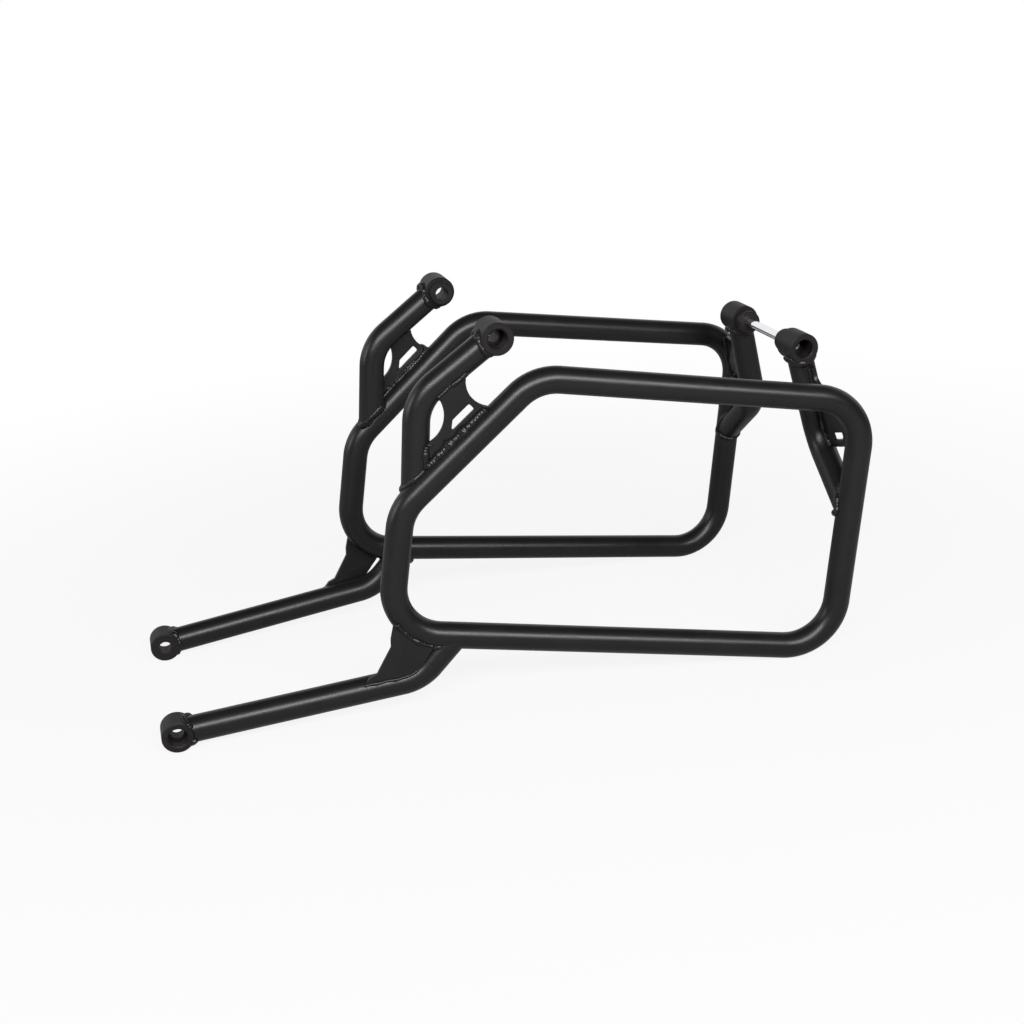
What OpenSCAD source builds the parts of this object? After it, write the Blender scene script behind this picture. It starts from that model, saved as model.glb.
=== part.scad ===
/* [Tubes] */
// Outer diameter of every bent tube
tube_d = 25.4; // [20:0.1:30]
// Wall of every bent tube
tube_wall = 2; // [1.5:0.1:3]
// Centre-line radius of the hoop's bends
hoop_bend_r = 48; // [40:1:55]
// Centre-line radius of the arm and strut bends
arm_bend_r = 45; // [35:1:50]

/* [Hoop] */
// Length of the hoop between the centre lines of its two uprights, along the bottom tube
hoop_length = 442; // [420:1:480]
// Height of the hoop between the centre lines of its top and bottom tubes
hoop_height = 251; // [240:1:270]
// Height of the bend where the front upright turns into the sloping tube
front_upright_h = 120; // [115:1:130]
// Angle of the sloping front tube above the horizontal
slope_angle = 50; // [46:1:54]
// Forward lean of the rear upright
rear_lean = 2.6; // [0:0.1:5]
// Half the distance between the two hoops at their front uprights
hoop_half_gap = 118; // [110:1:130]
// Angle by which each hoop opens outwards towards the rear
flare = 4.1; // [2:0.1:6]
// Diameter of the drain hole under the bottom tube
drain_d = 5; // [4:0.5:6]
// Distance of the drain hole ahead of the rear bend
drain_from_bend = 20; // [10:1:40]

/* [Mounting bosses] */
// Outer diameter of the six bosses
boss_d = 30; // [28:0.5:33]
// Diameter of the bolt hole through the front and lower bosses
bolt_hole_d = 13; // [10:0.5:14]
// Diameter of the outboard recess for the bolt head
head_recess_d = 17.5; // [16:0.5:20]
// Chamfer round the mouth of each recess
mouth_chamfer = 1.2; // [0.5:0.1:2]
// Chamfer round the outer edges of each boss
boss_chamfer = 1.2; // [0.5:0.1:1.8]
// Diameter of the turned-down inboard end of the upper bosses
spigot_d = 23; // [20:0.5:25]
// Length of the full-diameter part of the front boss
front_boss_length = 34; // [30:1:40]
// Length of the turned-down end of the front boss
front_spigot_length = 9; // [5:1:14]
// Length of the full-diameter part of the rear boss
rear_boss_length = 32; // [30:1:40]
// Length of the turned-down end of the rear boss
rear_spigot_length = 13; // [8:1:18]
// Length of the lower boss
lower_boss_length = 26; // [24:1:32]
// Depth of the outboard recess in the upper bosses
upper_recess_depth = 20; // [12:1:24]
// Depth of the outboard recess in the lower boss
lower_recess_depth = 14; // [8:1:18]
// Height of the upper boss axes above the bottom tube's centre line
upper_boss_h = 285; // [280:1:300]
// Distance of the front boss axis behind the front upright
front_boss_x = 69; // [64:1:74]
// Distance of the rear boss axis behind the front upright
rear_boss_x = 390; // [380:1:400]
// Distance of the lower boss axis ahead of the front upright
lower_boss_x = 188; // [180:1:200]
// Drop of the lower boss axis below the bottom tube's centre line
lower_boss_drop = 105; // [100:1:115]

/* [Arms and strut] */
// Distance by which the front arm stands inboard of the hoop
front_arm_inset = 8; // [6:1:10]
// Distance of the front arm's bend behind the front upright
front_arm_bend_x = 5.5; // [2:0.5:8]
// Height of the front arm's bend
front_arm_bend_h = 222; // [216:1:226]
// Distance of the front arm's foot behind the front upright
front_arm_foot_x = 13; // [8:1:16]
// Distance of the strut's bend behind the front upright
strut_bend_x = 33; // [28:1:36]
// Drop of the strut's bend below the bottom tube's centre line
strut_bend_drop = 44; // [40:1:48]
// Distance of the strut's upper end behind the front upright
strut_end_x = 63; // [58:1:68]
// Half the distance between the two rear arms at their bosses
rear_arm_half_gap = 71; // [68:1:76]
// Distance of the rear arm's bend behind the front upright
rear_arm_bend_x = 427.5; // [422:0.5:431]
// Height of the rear arm's bend
rear_arm_bend_h = 194; // [190:1:200]
// Half the distance between the two rear arms at their bends
rear_arm_bend_half_gap = 78; // [74:1:84]
// Height of the rear arm's foot on the rear upright
rear_arm_foot_h = 141; // [130:1:150]
// Fit-up gap that a coped tube or a plate leaves for the weld
weld_gap = 0.1; // [0.05:0.05:0.3]

/* [Gusset plates] */
// Thickness of the gusset plates
plate_t = 4; // [3:0.5:5]
// Distance by which the lower gusset stands outboard of the tubes' centre lines
lower_gusset_offset = 8; // [5:0.5:9]
// Distance up the slope from its lower bend to the bottom of the front gusset
front_gusset_low = 40; // [36:1:46]
// Distance up the slope from its lower bend to the top of the front gusset
front_gusset_high = 122; // [118:1:126]
// Distance along the front arm from its bend to the top of the front gusset
front_gusset_reach = 48; // [44:1:52]
// Radius of the front gusset's scooped edge
front_scoop_r = 24; // [20:1:26]
// Radius of the opening between the front gusset and the front arm
lens_r = 27.5; // [24:0.5:29]
// Distance by which the lens opening's centre stands ahead of the front arm's bend
lens_ahead = 2.5; // [1:0.5:5]
// Drop of the lens opening's centre below the front arm's bend
lens_drop = 14; // [12:1:16]
// Distance of the scoop's centre beyond the top of the front gusset
front_scoop_beyond = 20; // [18:1:23]
// Distance of the scoop's centre from the surface of the sloping tube
front_scoop_clear = 15; // [12:1:18]
// Width of the slots in the front and rear gussets
slot_w = 7.5; // [5:0.5:8]
// Length of the slots in the front and rear gussets
slot_length = 27; // [20:1:28]
// Radius of the slots' corners
slot_corner_r = 1.5; // [0.5:0.1:2]
// Distance of the front slot's centre from the top of the front gusset
front_slot_back = 23; // [20:1:25]
// Distance of the front slot's centre from the surface of the sloping tube
front_slot_clear = 11; // [9:0.5:13]
// Distance by which the rear gusset stands behind the rear arm's centre line
rear_gusset_back = 4; // [2:0.5:5]
// Height of the rear gusset's top on the rear arm, above the arm's bend
rear_gusset_rise = 74; // [68:1:78]
// Height of the rear gusset's top edge, where it runs on to the hoop
rear_gusset_top_h = 252.5; // [248:0.5:256]
// Radius of the scooped corner between the rear gusset's top edge and the rear arm
rear_scoop_r = 11.5; // [8:0.5:14]
// Distance of the scooped corner's centre outboard of the rear arm at its boss
rear_scoop_out = 32; // [28:0.5:36]
// Distance of the rear slot's centre inboard of the hoop's centre line
rear_slot_inset = 28.5; // [26:0.5:32]
// Height of the rear slot's centre above the rear arm's bend
rear_slot_rise = 15; // [12:1:18]
// Rise of the rear gusset's slot towards the hoop
rear_slot_angle = 17; // [10:1:25]
// Width of the strip below the rear gusset's slot
rear_strip_w = 7; // [5:0.5:9]

/* [Cross rod] */
// Diameter of the chromed cross rod
rod_d = 9; // [8:0.5:11]
// Clearance round the rod in its bores
rod_clearance = 0.2; // [0.1:0.05:0.4]
// Diameter of the tapped hole in each end of the rod
rod_tap_d = 5; // [4:0.5:6]
// Depth of the tapped holes
rod_tap_depth = 18; // [12:1:24]

/* [Hidden] */
$fn = 64;
frame_colour = "#2b2a2c";
boss_colour = "#332f31";
chrome_colour = "#d4d6da";

// A tube is a trace fatter round a bend, and its straights run on into it
bend_swell = 0.05;
tube_r = tube_d / 2;
bore_r = tube_r - tube_wall;
boss_r = boss_d / 2;
slop = 0.02;
join = 1;

// Hoop outline, as distance behind the front upright and height above the bottom tube
slope_top_x = (hoop_height - front_upright_h) / tan(slope_angle);
hoop_corners = [
  [hoop_length / 2 + join, 0, 0],
  [0, 0, 0],
  [0, 0, front_upright_h],
  [slope_top_x, 0, hoop_height],
  [hoop_length - hoop_height * tan(rear_lean), 0, hoop_height],
  [hoop_length, 0, 0],
  [hoop_length / 2, 0, 0]
];
function hoop_rear_x(h) = hoop_length - h * tan(rear_lean);

// Stand of the whole frame on its lower bosses and the rear corners of the hoops
function rear_bend_s(h) = hoop_rear_x(h) - hoop_bend_r / cos(rear_lean);
contact_run = rear_bend_s(hoop_bend_r) + lower_boss_x;
contact_rise = lower_boss_drop + hoop_bend_r;
contact_gap = norm([contact_run * cos(flare), contact_rise]);
stand_tilt = atan2(contact_rise, contact_run * cos(flare))
  - asin((hoop_bend_r + tube_r + bend_swell - boss_r) / contact_gap);

// Reach of the stand, from the lower boss axis to the back of the hoops' top rear bends
top_bend_h = hoop_height - hoop_bend_r;
reach_back = (rear_bend_s(top_bend_h) + lower_boss_x) * cos(flare) * cos(stand_tilt)
  + (top_bend_h + lower_boss_drop) * sin(stand_tilt)
  + hoop_bend_r * sqrt(1 - pow(sin(flare) * cos(stand_tilt), 2)) + tube_r + bend_swell;
middle_x = (reach_back - boss_r) / 2;

// Places of the tube ends
function side_y(s) = -(hoop_half_gap + s * sin(flare));
front_boss_y = side_y(front_boss_x) + front_arm_inset;
lower_boss_y = side_y(-lower_boss_x);
rear_boss_y = -rear_arm_half_gap;
front_boss_out = front_boss_y - front_boss_length / 2;
rear_boss_out = rear_boss_y - rear_boss_length / 2;
lower_boss_out = lower_boss_y - lower_boss_length / 2;
lower_boss_x_true = -lower_boss_x * cos(flare);
front_boss_x_true = front_boss_x * cos(flare);

front_arm_path = [
  [front_boss_x, front_arm_inset, upper_boss_h],
  [front_arm_bend_x, front_arm_inset, front_arm_bend_h],
  [front_arm_foot_x, front_arm_inset, front_upright_h]
];
strut_path = [
  [-lower_boss_x, 0, -lower_boss_drop],
  [strut_bend_x, 0, -strut_bend_drop],
  [strut_end_x, 0, 0]
];
rear_foot_s = hoop_rear_x(rear_arm_foot_h);
rear_arm_path = [
  [rear_boss_x, rear_boss_y, upper_boss_h],
  [rear_arm_bend_x, -rear_arm_bend_half_gap, rear_arm_bend_h],
  [rear_foot_s * cos(flare), side_y(rear_foot_s), rear_arm_foot_h]
];

function unit(v) = v / norm(v);
// Length of straight tube that a bend of radius r takes up on each side of corner b
function setback(a, b, c, r) = r * tan(acos(unit(b - a) * unit(c - b)) / 2);

// Straight solid of radius r from a to b
module rod_between(a, b, r) {
  d = b - a;
  translate(a)
    rotate([0, acos(d[2] / norm(d)), atan2(d[1], d[0])])
      cylinder(r = r, h = norm(d));
}

// Bent solid of radius r round corner b, between the straight runs from a and to c
module bend(a, b, c, r, bend_r) {
  into = unit(b - a);
  out = unit(c - b);
  turn = acos(into * out);
  start = b - into * setback(a, b, c, bend_r);
  inward = unit(out - into * (into * out));
  centre = start + inward * bend_r;
  up = cross(-inward, into);
  multmatrix([
    [-inward[0], into[0], up[0], centre[0]],
    [-inward[1], into[1], up[1], centre[1]],
    [-inward[2], into[2], up[2], centre[2]],
    [0, 0, 0, 1]
  ])
    rotate_extrude(angle = turn)
      translate([bend_r, 0])
        circle(r = r + bend_swell);
}

// Solid run of radius r along the corners of a path, with a bend at each inner corner
module run(path, r, bend_r) {
  last = len(path) - 1;
  for (i = [0 : last - 1]) {
    a = path[i];
    b = path[i + 1];
    cut_a = i == 0 ? 0 : setback(path[i - 1], a, b, bend_r) - join;
    cut_b = i == last - 1 ? 0 : setback(a, b, path[i + 2], bend_r) - join;
    rod_between(a + unit(b - a) * cut_a, b - unit(b - a) * cut_b, r);
  }
  for (i = [1 : last - 1])
    bend(path[i - 1], path[i], path[i + 1], r, bend_r);
}

// Tube with its true wall along a path
module tube(path, bend_r) {
  difference() {
    run(path, tube_r, bend_r);
    run(path, bore_r, bend_r);
  }
}

// Puts a rack's own frame, level with the bike, on the floor as it stands
module stand() {
  translate([-middle_x, 0, boss_r])
    rotate([0, stand_tilt, 0])
      translate([-lower_boss_x_true, 0, lower_boss_drop])
        children();
}

// Puts what lies in the flared plane of a hoop into the rack's frame
module in_hoop_plane(side = -1) {
  translate([0, side * hoop_half_gap, 0])
    rotate([0, 0, side * flare])
      children();
}

module left() {
  stand() children();
}

module right() {
  stand() mirror([0, 1, 0]) children();
}

// Round bar along the lateral axis, from y0 to y1, at a place in the rack's frame
module lateral_bar(x, z, y0, y1, d) {
  translate([x, y0, z])
    rotate([-90, 0, 0])
      cylinder(d = d, h = y1 - y0);
}

// Cutter of the hoop's outer form, which copes what is welded to it
module hoop_cutter() {
  in_hoop_plane() run(hoop_corners, tube_r + weld_gap, hoop_bend_r);
}

// Hoop: one tube with five bends, closed under the bottom, with a drain hole there
module hoop(side) {
  color(frame_colour)
    in_hoop_plane(side)
      difference() {
        tube(hoop_corners, hoop_bend_r);
        translate([hoop_length - hoop_bend_r - drain_from_bend, 0, -tube_r - join])
          cylinder(d = drain_d, h = tube_r + join);
      }
}

// Round bar with a chamfer at each end
module chamfered_bar(d, length) {
  small_d = d - 2 * boss_chamfer;
  cylinder(d1 = small_d, d2 = d, h = boss_chamfer);
  translate([0, 0, boss_chamfer])
    cylinder(d = d, h = length - 2 * boss_chamfer);
  translate([0, 0, length - boss_chamfer])
    cylinder(d1 = d, d2 = small_d, h = boss_chamfer);
}

// Turned boss with a recess on its outboard face and an optional spigot on the other
module boss(x, z, y_out, length, spigot, recess, hole_d) {
  mouth_d = head_recess_d + 2 * (mouth_chamfer + slop);
  color(boss_colour)
    translate([x, y_out, z])
      rotate([-90, 0, 0])
        difference() {
          union() {
            chamfered_bar(boss_d, length);
            if (spigot > 0)
              translate([0, 0, length / 2])
                chamfered_bar(spigot_d, length / 2 + spigot);
          }
          translate([0, 0, -join])
            cylinder(d = hole_d, h = length + spigot + 2 * join);
          translate([0, 0, -join])
            cylinder(d = head_recess_d, h = recess + join);
          translate([0, 0, -slop])
            cylinder(d1 = mouth_d, d2 = head_recess_d, h = mouth_chamfer + slop);
        }
}

module front_boss() {
  boss(front_boss_x_true, upper_boss_h, front_boss_out, front_boss_length,
    front_spigot_length, upper_recess_depth, bolt_hole_d);
}

module rear_boss() {
  boss(rear_boss_x, upper_boss_h, rear_boss_out, rear_boss_length,
    rear_spigot_length, upper_recess_depth, rod_d + 2 * rod_clearance);
}

module lower_boss() {
  boss(lower_boss_x_true, -lower_boss_drop, lower_boss_out, lower_boss_length,
    0, lower_recess_depth, bolt_hole_d);
}

// Cutter of a boss's outer form, which copes what is welded to it
module boss_cutter(x, z, y_out, length) {
  lateral_bar(x, z, y_out - join, y_out + length + join, boss_d + 2 * weld_gap);
}

// Front arm: coped on the hoop's front bend below and on the front boss above
module front_arm() {
  color(frame_colour)
    difference() {
      in_hoop_plane() tube(front_arm_path, arm_bend_r);
      hoop_cutter();
      boss_cutter(front_boss_x_true, upper_boss_h, front_boss_out, front_boss_length);
    }
}

module front_arm_cutter() {
  in_hoop_plane() run(front_arm_path, tube_r + weld_gap, arm_bend_r);
}

// Lower strut: coped under the hoop's bottom tube and on the lower boss
module lower_strut() {
  color(frame_colour)
    difference() {
      in_hoop_plane() tube(strut_path, arm_bend_r);
      hoop_cutter();
      boss_cutter(lower_boss_x_true, -lower_boss_drop, lower_boss_out, lower_boss_length);
    }
}

module strut_cutter() {
  in_hoop_plane() run(strut_path, tube_r + weld_gap, arm_bend_r);
}

// Rear arm: coped on the rear boss and on the inboard side of the rear upright
module rear_arm() {
  color(frame_colour)
    difference() {
      tube(rear_arm_path, arm_bend_r);
      hoop_cutter();
      boss_cutter(rear_boss_x, upper_boss_h, rear_boss_out, rear_boss_length);
    }
}

module rear_arm_cutter() {
  run(rear_arm_path, tube_r + weld_gap, arm_bend_r);
}

// Point on the hoop's sloping tube, by distance along it from its lower bend
function on_slope(d, out) = [
  d * cos(slope_angle) - out * sin(slope_angle),
  front_upright_h + d * sin(slope_angle) + out * cos(slope_angle)
];

// Plate of a given outline in the plane of the hoop
module plate(offset_in) {
  in_hoop_plane()
    translate([0, offset_in + plate_t / 2, 0])
      rotate([90, 0, 0])
        linear_extrude(height = plate_t)
          children();
}

// Outline of a convex shape with round corners of radius r centred on the given points.
// Its sides lie a trace inside the corners, so that they cross them and don't just touch.
module rounded(points, r) {
  count = len(points);
  polygon(points);
  for (i = [0 : count - 1]) {
    a = points[i];
    b = points[(i + 1) % count];
    across = [b[1] - a[1], a[0] - b[0]] / norm(b - a) * (r - slop);
    translate(a)
      circle(r = r);
    polygon([a, a + across, b + across, b]);
  }
}

// Slot with round corners and one end cut at a slant, centred on the origin
module slot(slant_angle) {
  half_l = slot_length / 2 - slot_corner_r;
  half_w = slot_w / 2 - slot_corner_r;
  slant = 2 * half_w / tan(slant_angle);
  rounded([
    [-half_l, -half_w],
    [half_l, -half_w],
    [half_l, half_w],
    [-half_l + slant, half_w]
  ], slot_corner_r);
}

// Front gusset: laser-cut plate between the front arm and the sloping tube
front_scoop_centre = on_slope(
  front_gusset_high + front_scoop_beyond, tube_r + front_scoop_clear);
front_slot_centre = on_slope(
  front_gusset_high - front_slot_back, tube_r + front_slot_clear);
lens_centre = [front_arm_bend_x - lens_ahead, front_arm_bend_h - lens_drop];
front_arm_lower = [front_arm_foot_x, front_upright_h];
front_arm_bend = [front_arm_bend_x, front_arm_bend_h];
front_arm_upper = [front_boss_x, upper_boss_h];
// Share of the arm's lower leg that the gusset leaves free
gusset_toe_share = 0.3;

module front_gusset() {
  color(frame_colour)
    difference() {
      plate(0)
        difference() {
          polygon([
            on_slope(front_gusset_low, 0),
            on_slope(front_gusset_high, 0),
            on_slope(front_gusset_high, tube_r),
            front_scoop_centre,
            front_arm_bend + unit(front_arm_upper - front_arm_bend) * front_gusset_reach,
            front_arm_bend,
            front_arm_lower + (front_arm_bend - front_arm_lower) * gusset_toe_share
          ]);
          translate(front_scoop_centre)
            circle(r = front_scoop_r);
          translate(lens_centre)
            circle(r = lens_r);
          translate(front_slot_centre)
            rotate(slope_angle)
              slot(90 - slope_angle);
        }
      hoop_cutter();
      front_arm_cutter();
    }
}

// Lower gusset: plate over the outboard side of the strut and the hoop's lower front bend.
// Its free edges are given from the hoop's lower front corner.
lower_gusset_front_edge = [[2, 14], [0.5, -3], [1.5, -11], [-9, -38], [-15.5, -42]];
lower_gusset_tip = -24;
lower_gusset_tip_rise = 3;
lower_gusset_heel = [31.5, -40];
lower_gusset_back_edge = [[43.5, -17], [47, 0]];

// Height of the strut's centre line below the hoop
function strut_h(s) = -strut_bend_drop
  - (strut_bend_x - s) * (lower_boss_drop - strut_bend_drop) / (strut_bend_x + lower_boss_x);

module lower_gusset() {
  color(frame_colour)
    difference() {
      plate(-lower_gusset_offset)
        polygon(concat(
          lower_gusset_front_edge,
          [[lower_gusset_tip, strut_h(lower_gusset_tip) + lower_gusset_tip_rise],
            [lower_gusset_tip + tube_r, strut_h(lower_gusset_tip + tube_r)],
            lower_gusset_heel],
          lower_gusset_back_edge
        ));
      hoop_cutter();
      strut_cutter();
    }
}

// Rear gusset: plate in the plane of the rear arm's upper leg, out to the hoop's rear corner.
// Its outline is given by distance outboard and by distance down the arm from the boss.
rear_leg_run = rear_arm_bend_x - rear_boss_x;
rear_leg_drop = upper_boss_h - rear_arm_bend_h;
rear_gusset_tilt = atan2(rear_leg_run, rear_leg_drop);
function down_leg(h) = (upper_boss_h - h) / cos(rear_gusset_tilt);
rear_tube_y = -side_y(rear_foot_s);
rear_scoop_centre = [
  rear_arm_half_gap + rear_scoop_out,
  down_leg(rear_gusset_top_h) - rear_scoop_r
];
rear_slot_centre = [rear_tube_y - rear_slot_inset, down_leg(rear_arm_bend_h + rear_slot_rise)];

// Outline of the rear gusset, with its lower edge along the slot
module rear_gusset_outline() {
  along = [cos(rear_slot_angle), -sin(rear_slot_angle)];
  below = [sin(rear_slot_angle), cos(rear_slot_angle)];
  low_centre = rear_slot_centre + (slot_w / 2 + rear_strip_w) * below;
  polygon([
    [rear_scoop_centre[0], down_leg(rear_arm_bend_h + rear_gusset_rise)],
    [rear_arm_half_gap, down_leg(rear_arm_bend_h + rear_gusset_rise)],
    [rear_arm_bend_half_gap, down_leg(rear_arm_bend_h)],
    low_centre - slot_length * along,
    low_centre + rear_slot_inset * along,
    [rear_tube_y, down_leg(hoop_height)]
  ]);
}

// Scoop of the rear gusset, open upwards and towards the hoop
module rear_scoop() {
  reach = hoop_bend_r + tube_r;
  translate(rear_scoop_centre)
    rounded([[0, -reach], [reach, -reach], [reach, 0], [0, 0]], rear_scoop_r);
}

module rear_gusset() {
  color(frame_colour)
    difference() {
      translate([rear_boss_x + rear_gusset_back, 0, upper_boss_h])
        rotate([0, -rear_gusset_tilt, 0])
          rotate([-90, 0, -90])
            linear_extrude(height = plate_t, center = true)
              difference() {
                rear_gusset_outline();
                rear_scoop();
                translate(rear_slot_centre)
                  rotate(-rear_slot_angle)
                    slot(90);
              }
      hoop_cutter();
      rear_arm_cutter();
    }
}

// Chromed cross rod that ties the two rear bosses together
rod_half = -(rear_boss_out + upper_recess_depth);

module cross_rod() {
  color(chrome_colour)
    stand()
      difference() {
        lateral_bar(rear_boss_x, upper_boss_h, -rod_half, rod_half, rod_d);
        lateral_bar(rear_boss_x, upper_boss_h, -rod_half - join, rod_tap_depth - rod_half, rod_tap_d);
        lateral_bar(rear_boss_x, upper_boss_h, rod_half - rod_tap_depth, rod_half + join, rod_tap_d);
      }
}

stand() hoop(-1);  // left_hoop
left() front_arm();  // left_front_arm
left() front_boss();  // left_front_boss
left() front_gusset();  // left_front_gusset
left() lower_strut();  // left_lower_strut
left() lower_boss();  // left_lower_boss
left() lower_gusset();  // left_lower_gusset
left() rear_arm();  // left_rear_arm
left() rear_boss();  // left_rear_boss
left() rear_gusset();  // left_rear_gusset
stand() hoop(1);  // right_hoop
right() front_arm();  // right_front_arm
right() front_boss();  // right_front_boss
right() front_gusset();  // right_front_gusset
right() lower_strut();  // right_lower_strut
right() lower_boss();  // right_lower_boss
right() lower_gusset();  // right_lower_gusset
right() rear_arm();  // right_rear_arm
right() rear_boss();  // right_rear_boss
right() rear_gusset();  // right_rear_gusset
cross_rod();
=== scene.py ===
import math

import bmesh
import bpy
from mathutils import Matrix, Vector, noise
from mathutils.bvhtree import BVHTree


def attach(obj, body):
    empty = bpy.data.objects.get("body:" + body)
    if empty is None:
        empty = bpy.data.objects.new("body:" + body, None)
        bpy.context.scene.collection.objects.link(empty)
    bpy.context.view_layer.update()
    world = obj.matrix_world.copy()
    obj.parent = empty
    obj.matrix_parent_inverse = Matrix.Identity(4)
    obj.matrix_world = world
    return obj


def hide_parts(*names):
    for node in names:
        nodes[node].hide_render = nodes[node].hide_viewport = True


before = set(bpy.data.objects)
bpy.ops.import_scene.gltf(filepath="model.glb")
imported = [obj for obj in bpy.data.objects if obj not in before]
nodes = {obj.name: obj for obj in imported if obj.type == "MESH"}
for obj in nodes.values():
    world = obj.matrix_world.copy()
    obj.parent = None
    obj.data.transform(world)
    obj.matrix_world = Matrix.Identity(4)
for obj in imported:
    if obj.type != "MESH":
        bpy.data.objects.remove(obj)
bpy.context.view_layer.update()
sides = ("left", "right")

# The camera stands off the front end of the left rack, above the pair, and looks a little
# backwards and down. It was solved from the photograph by the symmetry of the two racks.
camera_place = (-0.32217, -1.3854, 0.65979)
camera_turn = (69.99, 3.54, -15.42)
camera_lens = 52.73
sensor_width = 36
bpy.ops.object.camera_add(
    location=camera_place, rotation=[math.radians(a) for a in camera_turn]
)
camera = bpy.context.object
camera.name = "camera"
camera.data.lens = camera_lens
camera.data.sensor_width = sensor_width
bpy.context.scene.camera = camera
bpy.context.scene.view_settings.view_transform = "Standard"

# A white backdrop stands behind the pair, under a dark ceiling that gives the coat its
# deep tops. Seen straight on, the surround is plain white all round.
ambient_level = 0.3
ceiling_level = 0.02
backdrop_side = (-0.1, 0.3)
backdrop_top = (0.45, 0.7)


class Value:
    """A socket that gives a number or a colour. Sums on it add their Math nodes."""

    def __init__(self, tree, socket):
        self.tree = tree
        self.socket = socket

    def join(self, operation, first, second):
        maths = self.tree.nodes.new("ShaderNodeMath")
        maths.operation = operation
        for place, item in zip(maths.inputs, (first, second)):
            if isinstance(item, Value):
                self.tree.links.new(item.socket, place)
            else:
                place.default_value = item
        return Value(self.tree, maths.outputs[0])

    def other(self, name):
        """Another output of the same node."""
        return Value(self.tree, self.socket.node.outputs[name])

    def __add__(self, other):
        return self.join("ADD", self, other)

    def __sub__(self, other):
        return self.join("SUBTRACT", self, other)

    def __rsub__(self, other):
        return self.join("SUBTRACT", other, self)

    def __mul__(self, other):
        return self.join("MULTIPLY", self, other)

    __radd__ = __add__
    __rmul__ = __mul__


class Shader:
    """A material's or the world's node tree, which starts out empty."""

    def __init__(self, tree):
        self.tree = tree
        tree.nodes.clear()

    def node(self, kind, settings=None, sockets=None, output=0):
        """Adds a node. Its settings come first, and then its sockets' values or links."""
        made = self.tree.nodes.new(kind)
        for name, value in (settings or {}).items():
            setattr(made, name, value)
        for name, value in (sockets or {}).items():
            if isinstance(value, Value):
                self.tree.links.new(value.socket, made.inputs[name])
            else:
                made.inputs[name].default_value = value
        return Value(self.tree, made.outputs[output]) if made.outputs else None


world = bpy.data.worlds.new("studio")
bpy.context.scene.world = world
world.use_nodes = True
shader = Shader(world.node_tree)
rays = shader.node("ShaderNodeLightPath", output="Is Camera Ray")
glossy = rays.other("Is Glossy Ray")
through = rays.other("Is Transmission Ray")
reflected = rays.join("MAXIMUM", glossy, through)
heading = shader.node("ShaderNodeTexCoord", output="Generated")
ahead = shader.node("ShaderNodeSeparateXYZ", sockets={"Vector": heading}, output="Y")
upward = ahead.other("Z")
behind = shader.node(
    "ShaderNodeMapRange",
    {"interpolation_type": "SMOOTHSTEP"},
    {"Value": ahead, "From Min": backdrop_side[0], "From Max": backdrop_side[1]},
)
low_down = shader.node(
    "ShaderNodeMapRange",
    {"interpolation_type": "SMOOTHSTEP"},
    {"Value": upward, "From Min": backdrop_top[0], "From Max": backdrop_top[1],
     "To Min": 1.0, "To Max": 0.0},
)
backdrop = behind * low_down * (1 - ceiling_level) + ceiling_level
plain = reflected * backdrop + (1 - reflected) * ambient_level
surround = shader.node(
    "ShaderNodeBackground",
    sockets={"Color": (1, 1, 1, 1), "Strength": rays + (1 - rays) * plain},
)
shader.node("ShaderNodeOutputWorld", sockets={"Surface": surround})

# The floor is one wide sheet of white paper. Seen straight on it is nearly white, and it
# keeps the soft shadow of the pair.
floor_size = 30
floor_colour = (0.36, 0.36, 0.36, 1)
floor_glow = 0.88
shadow_reach = 0.7
bpy.ops.mesh.primitive_plane_add(size=floor_size, location=(0, 0, 0))
floor = bpy.context.object
floor.name = "floor"
paper = bpy.data.materials.new("white_paper")
paper.use_nodes = True
shader = Shader(paper.node_tree)
rays = shader.node("ShaderNodeLightPath", output="Is Camera Ray")
place = shader.node("ShaderNodeTexCoord", output="Object")
distance = shader.node("ShaderNodeVectorMath", {"operation": "LENGTH"}, {0: place}, "Value")
fade = shader.node(
    "ShaderNodeMapRange",
    {"interpolation_type": "SMOOTHSTEP"},
    {"Value": distance, "From Min": shadow_reach / 2, "From Max": shadow_reach * 2,
     "To Min": floor_glow, "To Max": 1.0},
)
glow = shader.node("ShaderNodeEmission", sockets={"Color": (1, 1, 1, 1), "Strength": 1.0})
matt = shader.node("ShaderNodeBsdfDiffuse", sockets={"Color": floor_colour})
paper_shader = shader.node("ShaderNodeMixShader", sockets={0: rays * fade, 1: matt, 2: glow})
shader.node("ShaderNodeOutputMaterial", sockets={"Surface": paper_shader})
floor.data.materials.append(paper)

# Each lamp is a soft box: its name, its place, its width, its height and its power.
# The long one in front draws one bright line along every level tube.
target = Vector((0.0, 0.0, 0.17))
for name, place, width, height, power in (
    ("front_strip", (-0.2, -1.9, 1.45), 3.2, 0.55, 140),
    ("side_box", (-2.2, 0.2, 0.9), 0.8, 0.8, 12),
):
    bpy.ops.object.light_add(type="AREA", location=place)
    lamp = bpy.context.object
    lamp.name = name
    lamp.data.shape = "RECTANGLE"
    lamp.data.size = width
    lamp.data.size_y = height
    lamp.data.energy = power
    lamp.rotation_euler = (target - Vector(place)).to_track_quat("-Z", "Y").to_euler()

# The tubes and gusset plates of both racks carry one satin black powder coat.
# It is sprayed on and baked, and leaves a very fine orange peel on the steel.
coat_black = (0.0036, 0.0034, 0.0037, 1)
coat_worn = (0.007, 0.0064, 0.0069, 1)
coat_roughness = 0.34
coat_specular = 0.24
roughness_spread = 0.12
cloud_scale = 38
peel_scale = 620
grain_scale = 2100
grain_share = 0.3
grain_height = 0.5
peel_strength = 0.25
peel_depth = 0.00012


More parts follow.
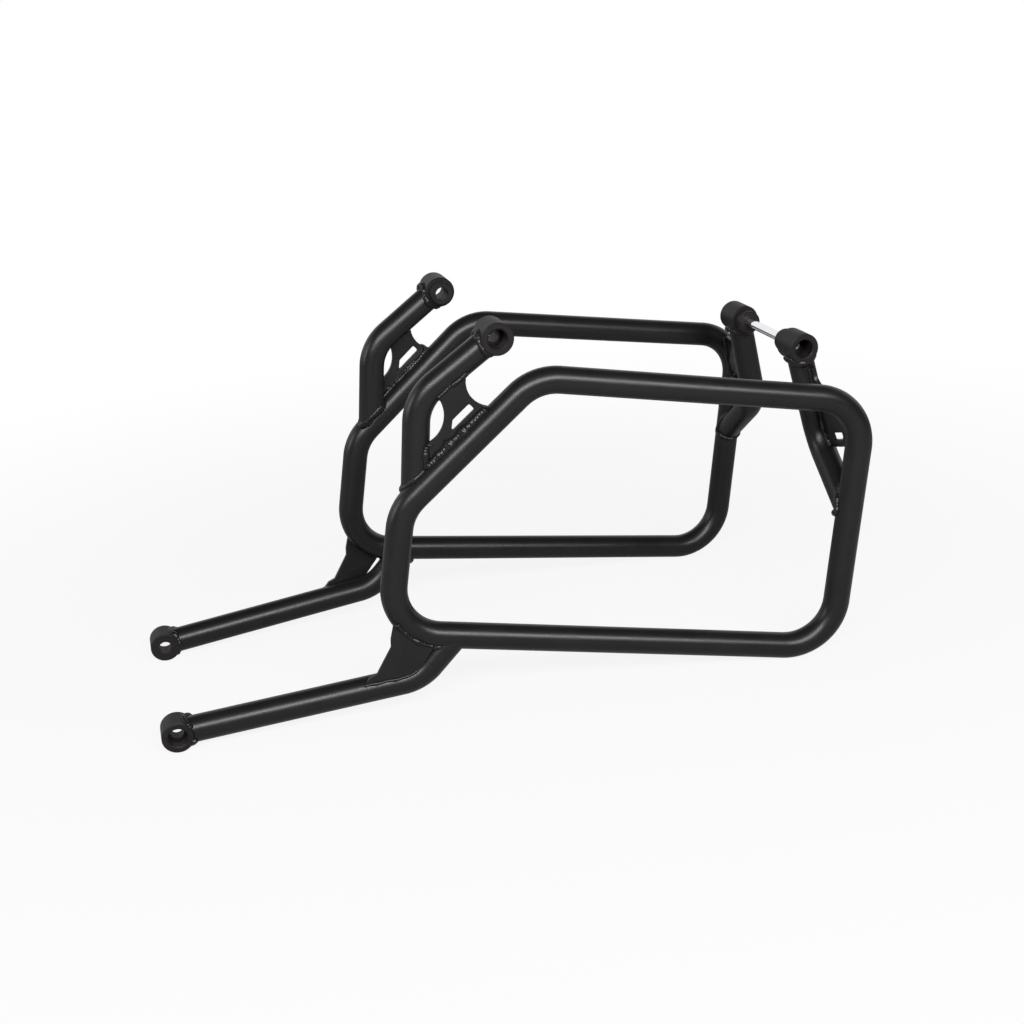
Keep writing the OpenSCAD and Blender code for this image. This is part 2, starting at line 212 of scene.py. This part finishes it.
def powder_coat(name, low_colour, high_colour, roughness, specular):
    """A coat that shades from one colour to another in clouds, with orange peel."""
    material = bpy.data.materials.new(name)
    material.use_nodes = True
    shader = Shader(material.node_tree)
    place = shader.node("ShaderNodeTexCoord", output="Object")
    cloud, peel, grain = (
        shader.node("ShaderNodeTexNoise", sockets={"Vector": place, "Scale": scale, "Detail": detail})
        for scale, detail in ((cloud_scale, 3), (peel_scale, 2), (grain_scale, 1))
    )
    colour = shader.node(
        "ShaderNodeMix",
        {"data_type": "RGBA"},
        {"Factor": cloud * (1 - grain_share) + grain * grain_share, 6: low_colour, 7: high_colour},
        output=2,
    )
    bump = shader.node(
        "ShaderNodeBump",
        sockets={
            "Height": peel + grain * grain_height,
            "Strength": peel_strength,
            "Distance": peel_depth,
        },
    )
    coat = shader.node(
        "ShaderNodeBsdfPrincipled",
        sockets={
            "Base Color": colour,
            "Roughness": (cloud - 0.5) * roughness_spread + roughness,
            "Specular IOR Level": specular,
            "Normal": bump,
        },
    )
    shader.node("ShaderNodeOutputMaterial", sockets={"Surface": coat})
    return material


frame_coat = powder_coat(
    "satin_black_powder_coat", coat_black, coat_worn, coat_roughness, coat_specular
)
tubes = ("hoop", "front_arm", "lower_strut", "rear_arm")
plates = ("front_gusset", "lower_gusset", "rear_gusset")
for side in sides:
    for part in tubes + plates:
        nodes[f"{side}_{part}"].material_slots[0].material = frame_coat

# The six bosses are turned from bar and coated with the racks.
# The coat on their turned faces is a little browner and duller.
boss_black = (0.0036, 0.0031, 0.0033, 1)
boss_brown = (0.0088, 0.0066, 0.0071, 1)
boss_roughness = 0.5
boss_specular = 0.18
boss_coat = powder_coat(
    "black_boss_coat", boss_black, boss_brown, boss_roughness, boss_specular
)
for side in sides:
    for part in ("front_boss", "lower_boss", "rear_boss"):
        nodes[f"{side}_{part}"].material_slots[0].material = boss_coat

# The cross rod is bright chrome over ground steel bar.
# Faint lines run round it from the grinding.
chrome_colour = (0.83, 0.84, 0.86, 1)
chrome_roughness = 0.05
line_roughness = 0.05
line_scale = (40, 2500, 40)
chrome = bpy.data.materials.new("bright_chrome")
chrome.use_nodes = True
shader = Shader(chrome.node_tree)
place = shader.node("ShaderNodeTexCoord", output="Object")
squeezed = shader.node("ShaderNodeMapping", sockets={"Vector": place, "Scale": line_scale})
lines = shader.node("ShaderNodeTexNoise", sockets={"Vector": squeezed, "Scale": 1, "Detail": 2})
plate = shader.node(
    "ShaderNodeBsdfPrincipled",
    sockets={
        "Base Color": chrome_colour,
        "Metallic": 1,
        "Roughness": lines * line_roughness + chrome_roughness,
    },
)
shader.node("ShaderNodeOutputMaterial", sockets={"Surface": plate})
nodes["cross_rod"].material_slots[0].material = chrome

# The three gusset plates of each rack are laser cut from steel sheet, and their edges are
# broken a little before they are welded on. Each stands where its solid does.
edge_break = 0.0005
plate_edge = math.radians(40)
smooth_edge = math.radians(30)
flat_edge = math.radians(0.5)
merge_reach = 0.00001

# A rack's own frame has its origin at the hoop's lower front corner, X backwards along the
# hoop and Y inboard. The hoops flare outwards to the back, and the pair stands tilted on
# its lower bosses and on the hoops' lower rear corners.
hoop_half_gap = 0.118
flare = math.radians(4.1)
lower_boss_ahead = 0.188
lower_boss_drop = 0.105
lower_boss_axis = (-0.331622, 0, 0.015)
stand_tilt = math.radians(10.438)
rack_to_floor = (
    Matrix.Translation(lower_boss_axis)
    @ Matrix.Rotation(stand_tilt, 4, "Y")
    @ Matrix.Translation((lower_boss_ahead * math.cos(flare), -hoop_half_gap, lower_boss_drop))
    @ Matrix.Rotation(-flare, 4, "Z")
)
mirrored_rack = Matrix.Scale(-1, 4, (0, 1, 0))
rack_place = {"left": rack_to_floor, "right": mirrored_rack @ rack_to_floor}

# The lower gusset's back edge is cut straight, so that a gap stays open above the strut's
# bend. Each pair of points is the top and the bottom of that edge, and the racks differ.
back_edges = {
    "left": ((0.0398, 0, -0.0125), (0.0280, 0, -0.0373)),
    "right": ((0.0357, 0, -0.0141), (0.0240, 0, -0.0349)),
}
back_cuts = {}
for side in sides:
    top, bottom = (rack_place[side] @ Vector(corner) for corner in back_edges[side])
    lateral = rack_place[side].to_3x3() @ Vector((0, 1, 0))
    backward = (bottom - top).cross(lateral).normalized()
    back_cuts[side] = (top, backward if backward.x > 0 else -backward)


def merged_copy(node, name):
    """A copy of a CAD node with its loose triangles joined, and flat faces made whole."""
    piece = bpy.data.objects.new(name, nodes[node].data.copy())
    bpy.context.collection.objects.link(piece)
    bpy.ops.object.select_all(action="DESELECT")
    piece.select_set(True)
    bpy.context.view_layer.objects.active = piece
    bpy.ops.object.mode_set(mode="EDIT")
    bpy.ops.mesh.select_all(action="SELECT")
    bpy.ops.mesh.remove_doubles(threshold=merge_reach)
    bpy.ops.mesh.dissolve_limited(angle_limit=flat_edge)
    bpy.ops.object.mode_set(mode="OBJECT")
    return piece


def finish_piece(piece, node):
    """Puts a piece in the place of its CAD node."""
    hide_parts(node)
    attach(piece, "root")


for side in sides:
    for part in plates:
        node = f"{side}_{part}"
        piece = merged_copy(node, f"{node}_plate")
        if part == "lower_gusset":
            bpy.ops.object.mode_set(mode="EDIT")
            bpy.ops.mesh.select_all(action="SELECT")
            bpy.ops.mesh.bisect(
                plane_co=back_cuts[side][0], plane_no=back_cuts[side][1],
                use_fill=True, clear_outer=True,
            )
            bpy.ops.object.mode_set(mode="OBJECT")
        bevel = piece.modifiers.new("broken_edges", "BEVEL")
        bevel.width = edge_break
        bevel.segments = 2
        bevel.limit_method = "ANGLE"
        bevel.angle_limit = plate_edge
        bpy.ops.object.modifier_apply(modifier=bevel.name)
        bpy.ops.object.shade_smooth_by_angle(angle=smooth_edge)
        piece.data.materials.clear()
        piece.data.materials.append(frame_coat)
        finish_piece(piece, node)

# Each front arm is a tube with one bend, from the front boss to the hoop's sloping tube.
# It stands a little inboard of the hoop, so its foot is cut askew and built up with weld.
# The places here are in the rack's own frame.
tube_radius = 0.0127
tube_facets = 72
run_step = 0.004
bend_steps = 16
leg_steps = 26
arm_inset = 0.008
arm_bend_radius = 0.045
arm_top = Vector((0.069, arm_inset, 0.285))
arm_corner = Vector((0.0055, arm_inset, 0.222))
arm_foot = Vector((0.013, arm_inset, 0.120))
boss_seat = 0.0089
slope_rise = math.radians(50)
slope_foot = Vector((0, 0, 0.120))
foot_lift = 0.0113
foot_askew = math.radians(10.6)

arm_down = (arm_corner - arm_top).normalized()
leg_down = (arm_foot - arm_corner).normalized()
arm_turn = arm_down.angle(leg_down)
arm_setback = arm_bend_radius * math.tan(arm_turn / 2)
arm_inward = (leg_down - arm_down * leg_down.dot(arm_down)).normalized()
spin_axis = arm_down.cross(leg_down).normalized()
bend_start = arm_corner - arm_down * arm_setback
bend_centre = bend_start + arm_inward * arm_bend_radius
upper_start = arm_top + arm_down * boss_seat
upper_run = (bend_start - upper_start).length
upper_steps = round(upper_run / run_step)
slope_lift = Vector((-math.sin(slope_rise), 0, math.cos(slope_rise)))
foot_cut = slope_foot + slope_lift * foot_lift + Vector((0, arm_inset, 0))
foot_square = slope_lift * math.cos(foot_askew) - Vector((0, math.sin(foot_askew), 0))
for side in sides:
    node = f"{side}_front_arm"
    bpy.ops.object.select_all(action="DESELECT")
    bpy.ops.mesh.primitive_circle_add(
        vertices=tube_facets, radius=tube_radius, location=upper_start,
        rotation=arm_down.to_track_quat("Z", "Y").to_euler(),
    )
    piece = bpy.context.object
    piece.name = f"{node}_tube"
    bpy.ops.object.transform_apply()
    bpy.ops.object.mode_set(mode="EDIT")
    bpy.ops.mesh.select_all(action="SELECT")
    for count in range(upper_steps):
        push = arm_down * upper_run / upper_steps
        bpy.ops.mesh.extrude_region_move(TRANSFORM_OT_translate={"value": push})
    bpy.ops.mesh.spin(steps=bend_steps, angle=-arm_turn, center=bend_centre, axis=spin_axis)
    for count in range(leg_steps):
        push = leg_down * run_step
        bpy.ops.mesh.extrude_region_move(TRANSFORM_OT_translate={"value": push})
    bpy.ops.mesh.select_all(action="SELECT")
    bpy.ops.mesh.remove_doubles(threshold=merge_reach)
    bpy.ops.mesh.fill_holes(sides=0)
    bpy.ops.mesh.select_all(action="SELECT")
    bpy.ops.mesh.bisect(plane_co=foot_cut, plane_no=foot_square, use_fill=True, clear_inner=True)
    bpy.ops.object.mode_set(mode="OBJECT")
    piece.matrix_world = rack_place[side]
    bpy.ops.object.transform_apply()
    bpy.ops.object.mode_set(mode="EDIT")
    bpy.ops.mesh.select_all(action="SELECT")
    bpy.ops.mesh.normals_make_consistent(inside=False)
    bpy.ops.object.mode_set(mode="OBJECT")
    bpy.ops.object.shade_smooth_by_angle(angle=smooth_edge)
    piece.data.materials.append(frame_coat)
    finish_piece(piece, node)

# Welds join the tubes, plates and bosses, one bead along each seam, under the same coat.
# A bead is laid in short steps, which leave it rippled, with a nub where it stops.
ripple_pitch = 0.0034
ripple_steps = 5
ripple_depth = 0.13
bead_lumps = 0.55
lump_scale = 120
bead_wander = 0.0009
wander_scale = 90
nub_swell = 1.35
nub_tip = 0.02
bead_roundness = 3
smoothing_passes = 4
sharp_edge = math.radians(24)
seam_reach = 0.0006
same_facing = 0.9
slack = 1e-9
bead_seed = 1
noise.seed_set(bead_seed)


def seam_chains(node, onto, facing):
    """Finds the sharp edges of a piece that lie on another one, as lists of points.

    Where a facing is given, only edges of a face that looks that way count.
    """
    mesh = bmesh.new()
    mesh.from_mesh(nodes[node].data)
    bmesh.ops.remove_doubles(mesh, verts=mesh.verts, dist=merge_reach)
    mesh.verts.index_update()
    carrier = bmesh.new()
    carrier.from_mesh(nodes[onto].data)
    tree = BVHTree.FromBMesh(carrier)
    carrier.free()
    near = [tree.find_nearest(vertex.co)[3] < seam_reach for vertex in mesh.verts]
    links = {}
    for edge in mesh.edges:
        if len(edge.link_faces) != 2 or edge.calc_face_angle() < sharp_edge:
            continue
        if not all(near[v.index] for v in edge.verts):
            continue
        if facing and max(f.normal.dot(facing) for f in edge.link_faces) < same_facing:
            continue
        a, b = edge.verts
        links.setdefault(a.index, []).append(b.index)
        links.setdefault(b.index, []).append(a.index)
    places = [v.co.copy() for v in mesh.verts]
    mesh.free()
    chains = []
    while links:
        start = min(links, key=lambda v: (len(links[v]) != 1, v))
        chain = [start]
        while links.get(chain[-1]):
            here = chain[-1]
            there = links[here].pop(0)
            links[there].remove(here)
            if not links[here]:
                del links[here]
            if not links[there]:
                del links[there]
            chain.append(there)
        chains.append([places[v] for v in chain])
    return chains


def length_of(points):
    return sum((b - a).length for a, b in zip(points, points[1:]))


def walk(points, step):
    """Points at even steps along a chain."""
    total = length_of(points)
    count = max(2, round(total / step))
    made = []
    travelled = 0
    target = 0
    for a, b in zip(points, points[1:]):
        run = (b - a).length
        while target <= travelled + run + slack and len(made) <= count:
            made.append(a.lerp(b, (target - travelled) / run if run else 0))
            target += total / count
        travelled += run
    return made


def bead(name, points, radius, closed):
    """Lays one rippled bead along a seam. An open one swells into a nub at each end."""
    line = walk(points, ripple_pitch / ripple_steps)
    for count in range(smoothing_passes):
        line = [line[0]] + [
            (a + b * 2 + c) / 4 for a, b, c in zip(line, line[1:], line[2:])
        ] + [line[-1]]
    curve = bpy.data.curves.new(name, "CURVE")
    curve.dimensions = "3D"
    curve.bevel_depth = radius
    curve.bevel_resolution = bead_roundness
    curve.use_fill_caps = True
    spline = curve.splines.new("POLY")
    spline.points.add(len(line) - 1)
    nub = max(2, round(radius / ripple_pitch * ripple_steps))
    for i, place in enumerate(line):
        phase = (i % ripple_steps) / ripple_steps
        swell = 1 + bead_lumps * noise.noise(place * lump_scale) - ripple_depth * phase
        ends = min(i, len(line) - 1 - i)
        if not closed and ends < nub:
            swell *= nub_swell * math.sqrt(max(nub_tip, 1 - (1 - ends / nub) ** 2))
        wander = noise.noise_vector(place * wander_scale) * bead_wander
        spline.points[i].co = (*(place + wander), 1)
        spline.points[i].radius = swell
    spline.use_cyclic_u = closed
    piece = bpy.data.objects.new(name, curve)
    bpy.context.collection.objects.link(piece)
    bpy.ops.object.select_all(action="DESELECT")
    piece.select_set(True)
    bpy.context.view_layer.objects.active = piece
    bpy.ops.object.convert(target="MESH")
    piece = bpy.context.object
    bpy.ops.object.shade_smooth()
    piece.data.materials.clear()
    piece.data.materials.append(frame_coat)
    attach(piece, "root")


# Each row is the piece that is welded, what it is welded to, and the radii of its beads. A
# tube's seam runs all round and has one radius. A plate has one for its outboard or front
# face and one for the other, and 0 where no bead is laid. Seams come from the right rack
# and are mirrored for the left. A seam too short for a bead is left out, and one that is
# still short is filled with a fat dab.
shortest_bead = 0.006
dab_length = 0.027
dab_swell = 1.6
closing_gap = 0.002
welds = (
    ("front_arm", "front_boss", (0.0038,)),
    ("rear_arm", "rear_boss", (0.0034,)),
    ("rear_arm", "hoop", (0.003,)),
    ("lower_strut", "hoop", (0.003,)),
    ("lower_strut", "lower_boss", (0.0027,)),
    ("front_gusset", "hoop", (0.0054, 0.0028)),
    ("front_gusset", "front_arm", (0.0021, 0.0021)),
    ("lower_gusset", "hoop", (0.0024, 0.0)),
    ("lower_gusset", "lower_strut", (0.0017, 0.0)),
    ("rear_gusset", "hoop", (0.0025, 0.0025)),
    ("rear_gusset", "rear_arm", (0.0025, 0.0025)),
)
for part, onto, radii in welds:
    for number, radius in enumerate(radii):
        if not radius:
            continue
        facing = None
        if len(radii) == 2:
            facing = Vector((-1, 0, 0)) if part == "rear_gusset" else Vector((0, 1, 0))
            facing = facing * (1 - 2 * number)
        chains = seam_chains(f"right_{part}", f"right_{onto}", facing)
        chains = [c for c in chains if length_of(c) > shortest_bead]
        if not facing:
            chains = sorted(chains, key=length_of)[-1:]
        for place, chain in enumerate(chains):
            closed = (chain[0] - chain[-1]).length < closing_gap
            size = radius * dab_swell if length_of(chain) < dab_length else radius
            for side in sides:
                turned = chain if side == "right" else [mirrored_rack @ point for point in chain]
                if part == "lower_gusset":
                    cut_at, backward = back_cuts[side]
                    turned = [p for p in turned if (p - cut_at).dot(backward) < 0]
                bead(f"{side}_weld_{part}_to_{onto}_{number}{place}", turned, size, closed)

# The weld at a front arm's foot goes all round its rim. Below the overhang, more passes
# fill the wedge between the rim and the place on the hoop where the rim would land.
foot_bead = 0.0027
foot_sink = 0.0012
fill_shares = (0.45, 0.9)
shortest_drop = 0.0012
rim = []
landing = []
for count in range(tube_facets + 1):
    around = math.tau * count / tube_facets
    radial = Vector((0, math.cos(around), 0)) + leg_down.cross(Vector((0, 1, 0))) * math.sin(around)
    start = arm_foot + radial * (tube_radius - foot_sink)
    hoop_top = math.sqrt(max(0, tube_radius ** 2 - start.y ** 2))
    plane_top = foot_lift + (start.y - arm_inset) * math.tan(foot_askew)
    height = max(hoop_top, plane_top)
    travel = (height - (start - slope_foot).dot(slope_lift)) / leg_down.dot(slope_lift)
    rim.append(start + leg_down * travel)
    out_of_hoop = Vector((0, start.y, 0)) + slope_lift * height
    landing.append(rim[-1] + out_of_hoop * (tube_radius / out_of_hoop.length - 1))
half = tube_facets // 2
drops = list(zip(rim, landing))
drops = drops[half:] + drops[1:half]
drops = [(edge, ground) for edge, ground in drops if (edge - ground).length > shortest_drop]
for side in sides:
    around = [rack_place[side] @ point for point in rim]
    bead(f"{side}_weld_foot_rim", around, foot_bead, True)
    for number, share in enumerate(fill_shares):
        hung = [rack_place[side] @ edge.lerp(ground, share) for edge, ground in drops]
        bead(f"{side}_weld_foot_fill_{number}", hung, foot_bead, False)
